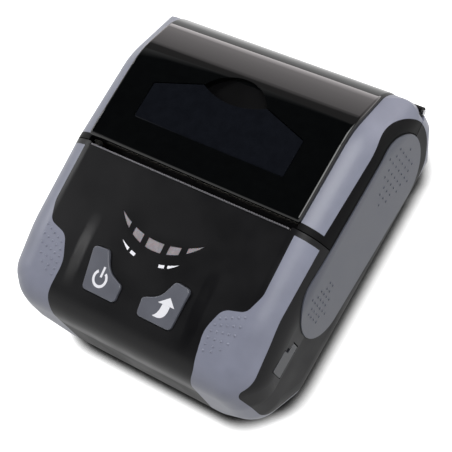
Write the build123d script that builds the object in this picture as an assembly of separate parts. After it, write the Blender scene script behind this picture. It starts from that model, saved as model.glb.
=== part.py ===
from build123d import *
import math
import os

# Portable clamshell receipt printer for 80 mm thermal paper, in millimetres.
# +X is to the printer's right, -Y is the control panel's end, +Z is up, and the origin is on the floor
# under the middle. Every piece is one node in parts/. The sizes below are counted from a y of 0 at the
# seam between panel and lid, and save() moves each node by SHIFT_Y, which centres the whole.

os.makedirs("parts", exist_ok=True)

# Case: flat-faced cores, grown by a radius, so that edges and corners are round. One gives the front,
# the sides and the top, and the other one, of a smaller radius, the rear
CASE_HALF_W = 53.5
CASE_FRONT = -59.6
CASE_REAR = 60.4
CASE_BOTTOM = 0.8
CASE_TOP = 51.0
CASE_R = 12.0
REAR_R = 5.5
CORE_LAP = 0.02
WALL = 2.2
GUARD_T = 1.5
PARTING_Z = 27.5
REAR_PART_Y = 49.5
FAR = 90.0

# Side outlines of the two: (y, z, corner radius where it is over the core's)
TOP_REAR_Y = 36.0
BROW = (56.4, 42.8)
TAIL_Y = 86.4
TAIL_Z = CASE_TOP - (CASE_TOP - BROW[1]) * (TAIL_Y - TOP_REAR_Y) / (BROW[0] - TOP_REAR_Y)
FRONT_OUTLINE = [
    (CASE_FRONT, CASE_BOTTOM, 0.0),
    (CASE_FRONT + 2.2, 40.6, 0.0),
    (-34.0, 47.4, 50.0),
    (0.0, CASE_TOP, 30.0),
    (TOP_REAR_Y, CASE_TOP, 29.0),
    (TAIL_Y, TAIL_Z, 0.0),
    (TAIL_Y, CASE_BOTTOM, 0.0),
]
REAR_OUTLINE = [
    (-FAR, CASE_BOTTOM - CORE_LAP, 0.0),
    (-FAR, CASE_TOP + CORE_LAP, 0.0),
    (TOP_REAR_Y, CASE_TOP + CORE_LAP, 29.0),
    (BROW[0], BROW[1] + CORE_LAP, 12.5),
    (CASE_REAR, 29.5, 0.0),
    (CASE_REAR, CASE_BOTTOM - CORE_LAP, 0.0),
]

# Corners cut from the cores: (outline point, reach along x and y, rise along z)
FRONT_CUTS = [(0, 9.0, 8.0), (1, 1.5, -4.0)]
REAR_CUTS = [(5, 9.0, 15.0)]

# Glossy cover on the lid: (y, z, corner radius) of its raised outline
COVER_TOP = 52.8
COVER_FRONT_Y = 1.2
COVER_HALF_W = 44.0
COVER_EDGE_R = 1.1
COVER_OUTLINE = [
    (COVER_FRONT_Y, COVER_TOP, 1.6),
    (36.5, COVER_TOP, 30.0),
    (56.8, 44.0, 14.0),
    (58.9, 35.0, 0.0),
    (COVER_FRONT_Y, 35.0, 0.0),
]

# Lid, its seam with the body and its hinge
SEAM_Y = -0.3
SEAM_GAP = 0.35
SIDE_SEAM = [(40.0, 20.0), (50.0, 28.0), (56.2, 29.4)]
LID_REAR_Z = 33.4
BODY_REAR_Z = 28.3
HINGE_Y = 58.2
HINGE_Z = 30.9
KNUCKLE_R = 1.75
HINGE_PIN_R = 0.9
HINGE_WEB_Y = (55.8, 57.3)
HINGE_WEB_TOP = 34.4
HINGE_PIN_END = 53.2
LID_KNUCKLE_X = (46.2, 52.6)
LID_BARREL_X = 37.6
BODY_KNUCKLE_X = (38.0, 45.8)
RUN = 0.05
SHIFT_Y = -0.741

# Side grips: in the side view, the hull of two circles, (y, z, radius)
GRIP_ENDS = [(-12.9, 28.2, 13.4), (35.5, 26.3, 14.9)]
GRIP_PROUD = 0.4
GRIP_DEPTH = 1.0
LID_SLOT_GROW = 0.5
RING_R = 18.5

# Grey guards
BAND_X = 44.0
GUARD_REAR_Y = -2.6
LID_BAND_FRONT_Y = 2.0
SIDE_X = 47.0

# Paper path: platen on the lid, print head on the body
PLATEN_Y = 5.4
PLATEN_Z = 40.0
PLATEN_R = 5.0
PLATEN_HALF = 40.0
SHAFT_R = 2.0
SHAFT_END = 46.4
HEAD_GAP = 0.3
HEAD_T = 0.9
HEAD_HALF = 40.4
SINK_T = 2.6
HEAD_PIVOT_Y = -3.6
HEAD_PIVOT_Z = 30.6
HEAD_PIVOT_R = 1.25

# Chassis plates and gear train
PLATE_X = (43.0, 44.2)
MODULE = 0.5
PLATEN_TEETH = 22
SMALL_TEETH = 16
LARGE_TEETH = 40
PINION_TEETH = 12
MOTOR_Y = -2.5
MOTOR_Z = 19.0
MOTOR_R = 10.0
GEAR_PLANE_A = (-46.0, -44.6)
GEAR_PLANE_B = (-48.4, -47.0)

# Paper well
ROLL_Y = 31.0
ROLL_Z = 26.2
WELL_R = 22.0
WELL_T = 1.2
WELL_HALF = 41.6
PAPER_HALF = 40.4

# Opening paddle
PADDLE_Y = 14.0
PADDLE_Z = 50.4
PADDLE_ROD_R = 0.9
PADDLE_HALF = 31.0
PADDLE_TOP = 52.7
PADDLE_T = 1.6
PADDLE_GAP = 0.35
PADDLE_BARREL_R = 2.3
HOOK_X = (41.8, 42.7)
HOOK_Z = 37.5
SCOOP_HALF = 13.0

# Control panel: a plane that follows the slope under the buttons
PANEL_TILT = math.degrees(math.atan2(47.4 - 40.6, 56.8 - 34.0))
PANEL_ORIGIN = (0.0, -40.0, 45.61)
BUTTON_PROUD = 0.8
BUTTON_EDGE_R = 0.35
BUTTON_GAP = 0.3
BUTTON_TRAVEL = 0.6
BUTTON_OUTLINE = [
    (14.4, -31.7, 1.6),
    (20.4, -32.2, 1.6),
    (18.8, -46.5, 1.6),
    (4.8, -46.5, 1.6),
    (4.5, -40.5, 1.6),
    (11.0, -38.0, 8.0),
]
LED_SPANS = [(-17.6, -12.0), (-9.8, -5.4), (-3.3, 3.3), (5.4, 9.8), (12.0, 17.6)]
LED_INNER = (10.4, 32.8)
LED_OUTER = (-3.7, 22.2)
BOARD_DEPTH = 7.2


def block(x, y, z):
    """A box from three (low, high) pairs."""
    size = Box(x[1] - x[0], y[1] - y[0], z[1] - z[0])
    return Pos((x[0] + x[1]) / 2, (y[0] + y[1]) / 2, (z[0] + z[1]) / 2) * size


def rod_x(y, z, radius, x_low, x_high):
    """A round bar along X."""
    return Pos((x_low + x_high) / 2, y, z) * Rot(0, 90, 0) * Cylinder(radius, x_high - x_low)


def rod_z(x, y, radius, z_low, z_high):
    """A round bar along Z."""
    return Pos(x, y, (z_low + z_high) / 2) * Cylinder(radius, z_high - z_low)


def side_prism(outline, x_low, x_high):
    """An outline of (y, z, corner radius), carried along X."""
    points = [(p[0], p[1]) for p in outline]
    line = FilletPolyline(*points, radius=[p[2] for p in outline], close=True)
    face = make_face(Plane.YZ * line)
    return Pos(x_low, 0, 0) * extrude(face, x_high - x_low, dir=(1, 0, 0))


def plan_prism(outline, z_low, z_high):
    """An outline of (x, y, corner radius), carried along Z."""
    points = [(p[0], p[1]) for p in outline]
    line = FilletPolyline(*points, radius=[p[2] for p in outline], close=True)
    return Pos(0, 0, z_low) * extrude(make_face(line), z_high - z_low, dir=(0, 0, 1))


def mirrored(shape):
    """The same piece on the other side of the middle."""
    return mirror(shape, about=Plane.YZ)


def both_sides(shape):
    """A piece and its mirror image."""
    return shape + mirrored(shape)


def inset_corners(outline, amount):
    """The corners of a closed outline of (y, z, radius), moved inwards by amount."""
    points = [(p[0], p[1]) for p in outline]
    count = len(points)
    area = sum(points[i - 1][0] * points[i][1] - points[i][0] * points[i - 1][1] for i in range(count))
    inwards = math.copysign(amount, area)
    lines = []
    for i in range(count):
        here = points[i]
        there = points[(i + 1) % count]
        length = math.dist(here, there)
        along = ((there[0] - here[0]) / length, (there[1] - here[1]) / length)
        lines.append((here[0] - along[1] * inwards, here[1] + along[0] * inwards, along))
    corners = []
    for i in range(count):
        ya, za, ta = lines[i - 1]
        yb, zb, tb = lines[i]
        reach = ((yb - ya) * tb[1] - (zb - za) * tb[0]) / (ta[0] * tb[1] - ta[1] * tb[0])
        corners.append((ya + ta[0] * reach, za + ta[1] * reach))
    return corners


def rounded_form(outline, half_w, radius, cuts, end, inset):
    """A side outline carried along X, with all its edges rounded to radius, moved inwards by inset. Each
    cut takes a corner off the core, at the front where end is -1 and at the rear where it is 1."""
    corners = inset_corners(outline, radius)
    radii = [max(p[2] - radius, 0.0) for p in outline]
    face = make_face(Plane.YZ * FilletPolyline(*corners, radius=radii, close=True))
    half = half_w - radius
    core = Pos(-half, 0, 0) * extrude(face, 2 * half, dir=(1, 0, 0))
    for index, reach, rise in cuts:
        y, z = corners[index]
        for side in (-1, 1):
            slant = Plane(origin=(side * half, y - end * reach, z), z_dir=(side, end, -reach / rise))
            core -= slant * Pos(0, 0, FAR) * Box(4 * FAR, 4 * FAR, 2 * FAR)
    return offset(core, amount=radius - inset, kind=Kind.ARC)


def case_form(inset=0.0):
    """The outer form of the printer, moved inwards by inset."""
    front = rounded_form(FRONT_OUTLINE, CASE_HALF_W, CASE_R, FRONT_CUTS, -1, inset)
    return front & rounded_form(REAR_OUTLINE, CASE_HALF_W + CORE_LAP, REAR_R, REAR_CUTS, 1, inset)


def grip_slot(grow, x_low, x_high):
    """The side grip's outline, grown on every side and carried along X."""
    circles = [Pos(y, z) * Circle(radius + grow) for y, z, radius in GRIP_ENDS]
    hull = make_hull(ShapeList(circles[0].edges() + circles[1].edges()))
    return Pos(x_low, 0, 0) * extrude(Plane.YZ * hull, x_high - x_low, dir=(1, 0, 0))


def lid_zone(clear):
    """All the space that belongs to the lid, grown by clear. Where it is grown, it also goes down behind
    the hinge, to where the body's rear wall ends."""
    seam = [(y, z - clear, 0.0) for y, z in SIDE_SEAM]
    rear_z = BODY_REAR_Z if clear else LID_REAR_Z
    step_y = SIDE_SEAM[-1][0] + 0.1
    outline = [(SEAM_Y - clear, FAR, 0.0), (SEAM_Y - clear, SIDE_SEAM[0][1], 0.0)]
    outline += seam
    outline += [(step_y, rear_z, 0.0), (FAR, rear_z, 0.0), (FAR, FAR, 0.0)]
    return side_prism(outline, -FAR, FAR) - grip_slot(LID_SLOT_GROW - clear, -FAR, FAR)


OUTER = case_form()
INNER = case_form(WALL)
SHELL = OUTER - INNER
GUARD_CORE = case_form(GUARD_T)
GRIP_CORE = case_form(GRIP_DEPTH)
LID_SPACE = lid_zone(0.0)
LID_CUT = lid_zone(SEAM_GAP)
PANEL = Plane(
    origin=PANEL_ORIGIN,
    x_dir=(1, 0, 0),
    z_dir=(0, -math.sin(math.radians(PANEL_TILT)), math.cos(math.radians(PANEL_TILT))),
)


def on_panel(x, y):
    """A point of the plan, as a point of the tilted panel plane."""
    return (x, (y - PANEL_ORIGIN[1]) / math.cos(math.radians(PANEL_TILT)))


def panel_block(x, y, depth_low, depth_high):
    """A box on the panel plane: x and y as in plan, depth measured down from the panel's surface."""
    low = on_panel(x[0], y[0])
    high = on_panel(x[1], y[1])
    size = Box(high[0] - low[0], high[1] - low[1], depth_high - depth_low)
    centre = ((low[0] + high[0]) / 2, (low[1] + high[1]) / 2, -(depth_low + depth_high) / 2)
    return PANEL * Pos(*centre) * size


def panel_rod(x, y, radius, depth_low, depth_high):
    """A round bar square to the panel plane."""
    at = on_panel(x, y)
    height = depth_high - depth_low
    return PANEL * Pos(at[0], at[1], -(depth_low + depth_high) / 2) * Cylinder(radius, height)


def button_prism(grow, depth_low, depth_high):
    """The right button's outline, grown on every side, square to the panel."""
    points = [on_panel(x, y) for x, y, radius in BUTTON_OUTLINE]
    line = FilletPolyline(*points, radius=[p[2] for p in BUTTON_OUTLINE], close=True)
    face = make_face(line)
    if grow:
        face = offset(face, amount=grow)
    prism = Pos(0, 0, -depth_high) * extrude(face, depth_high - depth_low, dir=(0, 0, 1))
    return PANEL * prism


def led_crescent(grow, z_low, z_high):
    """The smile-shaped row of windows: between two arcs, cut into spans across X."""
    row = rod_z(0, LED_OUTER[0], LED_OUTER[1] + grow, z_low, z_high)
    row -= rod_z(0, LED_INNER[0], LED_INNER[1] - grow, z_low - 1, z_high + 1)
    pieces = []
    for low, high in LED_SPANS:
        pieces.append(row & block((low - grow, high + grow), (-40, -10), (z_low, z_high)))
    return pieces


def gear_x(teeth, x_low, x_high, bore, phase, y, z):
    """A spur gear along X: straight-flanked teeth on a root disc, with phase in teeth."""
    pitch_r = MODULE * teeth / 2
    root_r = pitch_r - 1.25 * MODULE
    tip_r = pitch_r + 0.9 * MODULE
    root_half = 0.30 * MODULE * math.pi
    tip_half = 0.12 * MODULE * math.pi
    sketch = Circle(root_r)
    tooth = Polygon(
        (root_r - 0.3, -root_half),
        (tip_r, -tip_half),
        (tip_r, tip_half),
        (root_r - 0.3, root_half),
        align=None,
    )
    for i in range(teeth):
        sketch += Rot(0, 0, (i + phase) * 360.0 / teeth) * tooth
    sketch -= Circle(bore)
    body = extrude(sketch, x_high - x_low)
    return Pos(x_low, y, z) * Plane.YZ.location * body


def mesh_phase(followed_teeth, followed_phase, teeth, angle):
    """The phase, in teeth, that puts a gap of one gear on a tooth of the other along their line of
    centres, which leaves the followed gear at angle degrees."""
    at_followed = angle * followed_teeth / 360.0 - followed_phase
    at_this = (angle + 180.0) * teeth / 360.0
    return (at_this + at_followed + 0.5) % 1.0


def coil(radius, wire, turns, height):
    """A compression spring along Z from z = 0: a helix on biarcs of a quarter turn, one tube."""
    pitch = (height - 2 * wire) / turns
    rise = pitch / (2 * math.pi)
    steps = int(turns * 4)
    line_edges = []
    for i in range(steps):
        ends = []
        for a in (i * math.pi / 2, (i + 1) * math.pi / 2):
            point = Vector(radius * math.cos(a), radius * math.sin(a), wire + rise * a)
            slope = Vector(-radius * math.sin(a), radius * math.cos(a), rise).normalized()
            ends.append((point, slope))
        (p0, t0), (p1, t1) = ends
        chord = p1 - p0
        both = t0 + t1
        reach = 2 * (1 - t0.dot(t1))
        along = chord.dot(both)
        d = (-along + math.sqrt(along * along + reach * chord.dot(chord))) / reach
        near = p0 + t0 * d
        far = p1 - t1 * d
        middle = (near + far) * 0.5
        line_edges.append(Edge.make_tangent_arc(p0, t0, middle))
        line_edges.append(Edge.make_tangent_arc(middle, (far - near).normalized(), p1))
    path = Wire(line_edges)
    start = Plane(origin=(radius, 0, wire), z_dir=(0, radius, rise))
    points = [path.position_at(i / 600) for i in range(601)]
    reach = 600 // turns
    gaps = [(points[i] - points[j]).length for i in range(601) for j in range(i + reach // 2, 601)]
    print(f"spring of radius {radius}: least gap to itself {min(gaps) - 2 * wire:.2f} mm")
    return sweep(start * Circle(wire), path=path)


def save(name, shape):
    """Writes one node."""
    pieces = shape if isinstance(shape, list) else [shape]
    moved = [Pos(0, SHIFT_Y, 0) * piece for piece in pieces]
    export_step(Compound(children=moved) if len(moved) > 1 else moved[0], f"parts/{name}.step")


# Guard regions in plan, for the right side
FRONT_GUARD_PLAN = [
    (BAND_X, GUARD_REAR_Y, 0.2),
    (BAND_X, -24.0, 8.0),
    (41.5, -31.0, 4.0),
    (33.5, -33.2, 5.0),
    (30.0, -41.5, 10.0),
    (31.5, -54.0, 6.0),
    (25.5, -70.0, 1.0),
    (70.0, -70.0, 1.0),
    (70.0, GUARD_REAR_Y, 0.2),
]
OVAL_OUTLINE = [
    (-54.6, 36.6, 3.5),
    (-30.0, 43.2, 40.0),
    (0.0, 45.3, 5.0),
    (FAR, 45.3, 1.0),
    (FAR, -20.0, 1.0),
    (-24.0, -20.0, 1.0),
    (-40.0, 9.0, 5.0),
    (-54.6, 19.5, 5.0),
]
LID_OVAL_OUTLINE = [
    (-FAR, 48.8, 1.0),
    (55.3, 44.7, RING_R),
    (55.3, 0.0, 1.0),
    (-FAR, 0.0, 1.0),
]


def front_guard_region():
    """Where the right front guard covers the case."""
    region = plan_prism(FRONT_GUARD_PLAN, -FAR, FAR)
    region -= block((0.0, 50.0), (-55.5, FAR), (-FAR, 4.5))
    return region - side_prism(OVAL_OUTLINE, SIDE_X, FAR)


def rear_guard_region():
    """Where the right rear guard covers the body's rear corner, outside the dark ring round the grip."""
    region = block((BAND_X, FAR), (44.0, FAR), (5.0, BODY_REAR_Z + 1.0))
    return region - rod_x(GRIP_ENDS[1][0] + 1.3, GRIP_ENDS[1][1], RING_R, SIDE_X, FAR)


def lid_band_region():
    """Where the right grey band covers the lid."""
    region = block((BAND_X, FAR), (LID_BAND_FRONT_Y, FAR), (20.0, FAR))
    return region - side_prism(LID_OVAL_OUTLINE, SIDE_X, FAR)


# Guards and grips: each tool reaches past the case's skin, and cuts the space of its piece
upper_half = block((-FAR, FAR), (-FAR, REAR_PART_Y), (PARTING_Z, FAR))
lower_half = block((-FAR, FAR), (-FAR, FAR), (-FAR, PARTING_Z))
lower_half += block((-FAR, FAR), (REAR_PART_Y, FAR), (-FAR, FAR))
front_tool = front_guard_region() - GUARD_CORE
rear_tool = rear_guard_region() - GUARD_CORE
band_tool = lid_band_region() - GUARD_CORE
grip_tool = grip_slot(0.0, 30.0, FAR) - GRIP_CORE
BODY_TOOLS = [front_tool, rear_tool, grip_tool]
BODY_TOOLS += [mirrored(tool) for tool in BODY_TOOLS]

front_guard = (OUTER & front_tool) - LID_CUT
front_guard_right = front_guard & upper_half
corner_guard_right = front_guard & lower_half
rear_guard_right = (OUTER & rear_tool) - LID_CUT
lid_band_right = (OUTER & band_tool) & LID_SPACE
side_grip_right = case_form(-GRIP_PROUD) & grip_tool

# Lower case: battery bay in its floor, posts, feet and the battery latch's pocket
BAY_X = (-25.5, 25.5)
BAY_Y = (-46.5, -15.5)
BAY_TOP = 22.6
BAY_WALL = 1.2
POSTS = [(-40.0, -44.0), (40.0, -44.0), (-45.5, 44.0), (45.5, 44.0)]
POST_R = 3.0
SCREW_HOLE_R = 1.2
SCREW_R = 1.1
SCREW_HEAD_R = 2.2
SCREW_HEAD_Z = 4.6
UPPER_POST_TOP = 36.0
BOSS_X = 20.0
BOSS_Y = (-9.0, 3.0)
BOARD_POST_X = 22.0
BOARD_POST_Y = (-44.0, -18.0)
BOARD_Z = (28.0, 29.6)
FEET = [(-31.0, -43.0), (31.0, -43.0), (-36.0, 48.0), (36.0, 48.0)]
FOOT_R = 4.0
FOOT_DEPTH = 0.8
LATCH_X = 9.0
LATCH_RAIL = 0.9
LATCH_Y = (-15.0, -9.0)
LATCH_TRAVEL = 2.5
LATCH_Z = (1.0, 2.8)
TONGUE_X = 5.0
TONGUE_Y = -16.4
CHASSIS_FLOOR = (8.0, 9.2)

lower_case = (SHELL & lower_half) - LID_CUT
bay_x = (BAY_X[0] - BAY_WALL, BAY_X[1] + BAY_WALL)
bay_y = (BAY_Y[0] - BAY_WALL, BAY_Y[1] + BAY_WALL)
lower_case += block(bay_x, bay_y, (2.0, BAY_TOP + BAY_WALL))
pocket_end = LATCH_Y[1] + LATCH_TRAVEL
lower_case += block((-LATCH_X - 2, LATCH_X + 2), (BAY_Y[1], pocket_end + 2), (2.0, LATCH_Z[1] + 1.4))
for x, y in POSTS:
    lower_case += rod_z(x, y, POST_R, 2.0, PARTING_Z) & OUTER
for x in (-BOSS_X, BOSS_X):
    for y in BOSS_Y:
        lower_case += rod_z(x, y, POST_R, 2.0, CHASSIS_FLOOR[0])
        lower_case -= rod_z(x, y, SCREW_HOLE_R, 4.0, 20.0)
for x in (-BOARD_POST_X, BOARD_POST_X):
    for y in BOARD_POST_Y:
        lower_case += rod_z(x, y, 2.2, BAY_TOP, BOARD_Z[0])
        lower_case -= rod_z(x, y, 0.95, BAY_TOP + BAY_WALL, 40.0)
lower_case -= block(BAY_X, BAY_Y, (-1.0, BAY_TOP))
for x, y in POSTS:
    lower_case -= rod_z(x, y, SCREW_HOLE_R, -1.0, 40.0)
    lower_case -= rod_z(x, y, SCREW_HEAD_R + 0.2, -1.0, SCREW_HEAD_Z)
for x, y in FEET:
    lower_case -= rod_z(x, y, FOOT_R, -1.0, CASE_BOTTOM + FOOT_DEPTH)
pocket_y = (-15.3, pocket_end + 0.4)
latch_pocket = block((-LATCH_X - 0.2, LATCH_X + 0.2), pocket_y, (-1.0, LATCH_Z[1] + RUN))
rail_x = LATCH_X + LATCH_RAIL + RUN
latch_pocket += block((-rail_x, rail_x), pocket_y, (LATCH_Z[0] + 0.8 - RUN, LATCH_Z[1] + RUN))
latch_pocket += block((-TONGUE_X - 0.4, TONGUE_X + 0.4), (-16.0, -14.0), (-1.0, LATCH_Z[1] + 0.3))
lower_case -= latch_pocket
for side in (-1, 1):
    low, high = sorted((side * BODY_KNUCKLE_X[0], side * BODY_KNUCKLE_X[1]))
    lower_case += rod_x(HINGE_Y, HINGE_Z, KNUCKLE_R, low, high)
    lower_case += block((low, high), (HINGE_Y - 1.5, HINGE_Y + 1.4), (BODY_REAR_Z - 2.0, HINGE_Z))
lower_case -= rod_x(HINGE_Y, HINGE_Z, HINGE_PIN_R, -FAR, FAR)
for tool in BODY_TOOLS:
    lower_case -= tool
save("lower_case", lower_case)

# Battery pack: its underside closes the bay, with a notch for the latch's tongue
PACK_GAP = 0.3
pack_x = (BAY_X[0] + PACK_GAP, BAY_X[1] - PACK_GAP)
pack_y = (BAY_Y[0] + PACK_GAP, BAY_Y[1] - PACK_GAP)
battery_pack = block(pack_x, pack_y, (CASE_BOTTOM, BAY_TOP - PACK_GAP))
battery_pack = fillet(battery_pack.edges().filter_by(Axis.Z), 2.0)
battery_pack -= block((-TONGUE_X - 0.4, TONGUE_X + 0.4), (TONGUE_Y - 0.4, -15.0), (-1.0, LATCH_Z[1] + 0.3))
battery_pack -= block((-7.0, 7.0), (-45.5, -43.0), (-1.0, 2.0))
save("battery_pack", battery_pack)

contact_x = (-12.0, -8.0, 8.0, 12.0)
contacts = [block((x - 0.6, x + 0.6), (BAY_Y[1] - PACK_GAP, BAY_Y[1]), (9.0, 17.0)) for x in contact_x]
save("battery_contacts", contacts)

battery_latch = block((-LATCH_X, LATCH_X), LATCH_Y, LATCH_Z)
rail_x = LATCH_X + LATCH_RAIL
battery_latch += block((-rail_x, rail_x), LATCH_Y, (LATCH_Z[0] + 0.8, LATCH_Z[1]))
battery_latch += block((-TONGUE_X, TONGUE_X), (TONGUE_Y, LATCH_Y[0]), (LATCH_Z[0] + 0.4, LATCH_Z[1]))
for i in range(5):
    battery_latch -= block((-7.0, 7.0), (-14.0 + i, -13.5 + i), (0.0, LATCH_Z[0] + 0.4))
save("battery_latch", battery_latch)

save("rubber_feet", [rod_z(x, y, FOOT_R, 0.0, CASE_BOTTOM + FOOT_DEPTH) for x, y in FEET])

# Upper case: control panel, side walls and port opening
PORT_Y = (-42.2, -30.4)
PORT_STEP_Y = -34.4
PORT_Z = (28.4, 32.2, 34.8)
PORT_PIVOT = (52.9, -31.0)
TRUNNION_R = 0.45
TEAR_HALF = 41.5
TEAR_Y = (-1.8, -1.3)

upper_case = (SHELL & upper_half) - LID_CUT
for x, y in POSTS:
    wall = sorted((x, math.copysign(CASE_HALF_W - 1.5, x)))
    upper_case += rod_z(x, y, POST_R, PARTING_Z, UPPER_POST_TOP)
    upper_case += block(wall, (y - 1.0, y + 1.0), (BOARD_Z[1] + 0.8, UPPER_POST_TOP))
    upper_case -= rod_z(x, y, SCREW_HOLE_R, 20.0, UPPER_POST_TOP - 2.0)
for x in (-22.0, 22.0):
    for y in (-48.0, -18.0):
        upper_case += panel_rod(x, y, 2.0, 0.5, BOARD_DEPTH) & OUTER
upper_case -= block((-TEAR_HALF - 0.6, TEAR_HALF + 0.6), (TEAR_Y[0], 5.0), (40.0, 60.0))
button_hole = button_prism(BUTTON_GAP, -6.0, 6.0)
upper_case -= both_sides(button_hole)
LED_ROW = led_crescent(0.0, 40.0, 60.0)
for window in LED_ROW:
    upper_case -= window
port_recess = block((52.1, 60.0), (PORT_Y[0] - 0.2, PORT_STEP_Y + 0.2), (PORT_Z[0] - 0.2, PORT_Z[2] + 0.2))
port_recess += block((52.1, 60.0), (PORT_STEP_Y, PORT_Y[1] + 0.2), (PORT_Z[0] - 0.2, PORT_Z[1] + 0.2))
upper_case -= port_recess
upper_case -= block((48.0, 60.0), (-41.5, -32.9), (29.3, 34.0))
rim_room = button_prism(1.1, 2.45, 6.0)
upper_case -= both_sides(rim_room)
upper_case -= rod_z(PORT_PIVOT[0], PORT_PIVOT[1], TRUNNION_R + RUN, PORT_Z[0] - 0.7, PORT_Z[1] + 0.7)
for tool in BODY_TOOLS:
    upper_case -= tool
save("upper_case", upper_case)

save("front_guard_right", front_guard_right)
save("front_guard_left", mirrored(front_guard_right))
save("corner_guard_right", corner_guard_right)
save("corner_guard_left", mirrored(corner_guard_right))
save("rear_guard_right", rear_guard_right)
save("rear_guard_left", mirrored(rear_guard_right))
save("side_grip_right", side_grip_right)
save("side_grip_left", mirrored(side_grip_right))

port_cover = block((52.3, 53.5), (PORT_Y[0], PORT_STEP_Y), (PORT_Z[0], PORT_Z[2]))
port_cover += block((52.3, 53.5), (PORT_STEP_Y - 0.5, PORT_Y[1]), (PORT_Z[0], PORT_Z[1]))
port_cover = fillet(port_cover.edges().filter_by(Axis.X), 0.5)
port_cover -= block((50.0, 60.0), (PORT_PIVOT[1], 0.0), (20.0, 40.0))
port_cover += rod_z(PORT_PIVOT[0], PORT_PIVOT[1], 0.6, PORT_Z[0], PORT_Z[1])
port_cover += rod_z(PORT_PIVOT[0], PORT_PIVOT[1], TRUNNION_R, PORT_Z[0] - 0.6, PORT_Z[1] + 0.6)
save("port_cover", port_cover)

# Light windows, tear bar
window_shell = case_form(0.25) - case_form(2.0)
save("light_windows", [window & window_shell for window in LED_ROW])

TOOTH_PITCH = 1.0
tear_points = [(-TEAR_HALF, 46.2), (TEAR_HALF, 46.2)]
for i in range(int(2 * TEAR_HALF / TOOTH_PITCH)):
    x = TEAR_HALF - i * TOOTH_PITCH
    tear_points.append((x, 51.1))
    tear_points.append((x - TOOTH_PITCH / 2, 51.7))
tear_points.append((-TEAR_HALF, 51.1))
tear_face = make_face(Plane.XZ * Polyline(*tear_points, close=True))
save("tear_bar", Pos(0, TEAR_Y[0], 0) * extrude(tear_face, TEAR_Y[1] - TEAR_Y[0], dir=(0, 1, 0)))

# Buttons with a retaining rim under the panel and a stem over the switch
SWITCH_X = 12.0
SWITCH_Y = -40.0
SWITCH_TOP = 3.85
button = button_prism(0.0, -BUTTON_PROUD, 2.6)
button_top = button.faces().sort_by(Axis.Z)[-1]
button = fillet(button_top.edges(), BUTTON_EDGE_R)
button += button_prism(0.8, 2.5, 3.1)
button += panel_rod(SWITCH_X, SWITCH_Y, 2.0, 3.0, SWITCH_TOP - BUTTON_TRAVEL - 0.05)
save("feed_button", button)
save("power_button", mirrored(button))

keypad_board = panel_block((-24.0, 24.0), (-50.0, -15.0), BOARD_DEPTH, BOARD_DEPTH + 1.2)
save("keypad_board", keypad_board)
switches = []
for x in (-SWITCH_X, SWITCH_X):
    body = panel_block((x - 3.0, x + 3.0), (SWITCH_Y - 3.0, SWITCH_Y + 3.0), SWITCH_TOP + 0.5, BOARD_DEPTH)
    switches.append(body + panel_rod(x, SWITCH_Y, 1.7, SWITCH_TOP, SWITCH_TOP + 0.6))
save("tact_switches", switches)
LED_CENTRES = [(-13.8, -21.0), (-7.6, -23.2), (0.0, -24.2), (7.6, -23.2), (13.8, -21.0)]
leds = []
for x, y in LED_CENTRES:
    leds.append(panel_block((x - 1.0, x + 1.0), (y - 0.6, y + 0.6), BOARD_DEPTH - 1.1, BOARD_DEPTH))
save("status_leds", leds)

# Main board
main_board = block((-46.0, 48.0), (-53.0, -15.0), BOARD_Z) & case_form(WALL + 0.5)
for x, y in POSTS[:2]:
    main_board -= rod_z(x, y, POST_R + 0.4, 20.0, 40.0)
for x in (-BOARD_POST_X, BOARD_POST_X):
    for y in BOARD_POST_Y:
        main_board -= rod_z(x, y, 0.95, 20.0, 40.0)
save("main_board", main_board)
usb_port = block((44.6, 50.4), (-41.0, -33.4), (BOARD_Z[1], 33.6))
usb_port -= block((46.0, 52.0), (-40.4, -34.0), (30.3, 33.0))
usb_port += block((45.5, 49.6), (-39.4, -35.0), (31.4, 31.9))
save("usb_port", usb_port)
save("wireless_module", block((-36.0, -25.0), (-40.0, -24.0), (BOARD_Z[1], 31.8)))
chips = [block((-12.0, 0.0), (-44.0, -32.0), (BOARD_Z[1], 31.0))]
chips.append(block((8.0, 16.0), (-46.0, -40.0), (BOARD_Z[1], 31.2)))
chips.append(block((22.0, 28.0), (-36.0, -30.0), (BOARD_Z[1], 32.0)))
save("board_chips", chips)
board_screws = []
for x in (-BOARD_POST_X, BOARD_POST_X):
    for y in BOARD_POST_Y:
        shank = rod_z(x, y, 0.9, 25.0, BOARD_Z[1])
        board_screws.append(shank + rod_z(x, y, 1.8, BOARD_Z[1], BOARD_Z[1] + 1.0))
save("board_screws", board_screws)
case_screws = []
for x, y in POSTS:
    shank = rod_z(x, y, SCREW_R, SCREW_HEAD_Z, 33.0)
    case_screws.append(shank + rod_z(x, y, SCREW_HEAD_R, 3.4, SCREW_HEAD_Z))
save("case_screws", case_screws)

# Paper well: a trough with two ends, low at the front where the paper leaves
well = rod_x(ROLL_Y, ROLL_Z, WELL_R + WELL_T, -WELL_HALF, WELL_HALF)
well += block((-WELL_HALF, WELL_HALF), (ROLL_Y - WELL_R - WELL_T, ROLL_Y + WELL_R + WELL_T), (ROLL_Z, 38.0))
well -= block((-FAR, FAR), (-FAR, FAR), (38.0, FAR))
well -= rod_x(ROLL_Y, ROLL_Z, WELL_R, -PAPER_HALF, PAPER_HALF)
well -= block((-PAPER_HALF, PAPER_HALF), (ROLL_Y - WELL_R, ROLL_Y + WELL_R), (ROLL_Z, 40.0))
well -= block((-PAPER_HALF, PAPER_HALF), (0.0, 15.0), (32.0, 40.0))
well -= block((-FAR, FAR), (0.0, 14.0), (33.0, 40.0))
well -= block((-FAR, FAR), (51.0, 60.0), (29.5, 40.0))
save("paper_well", well)

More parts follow.
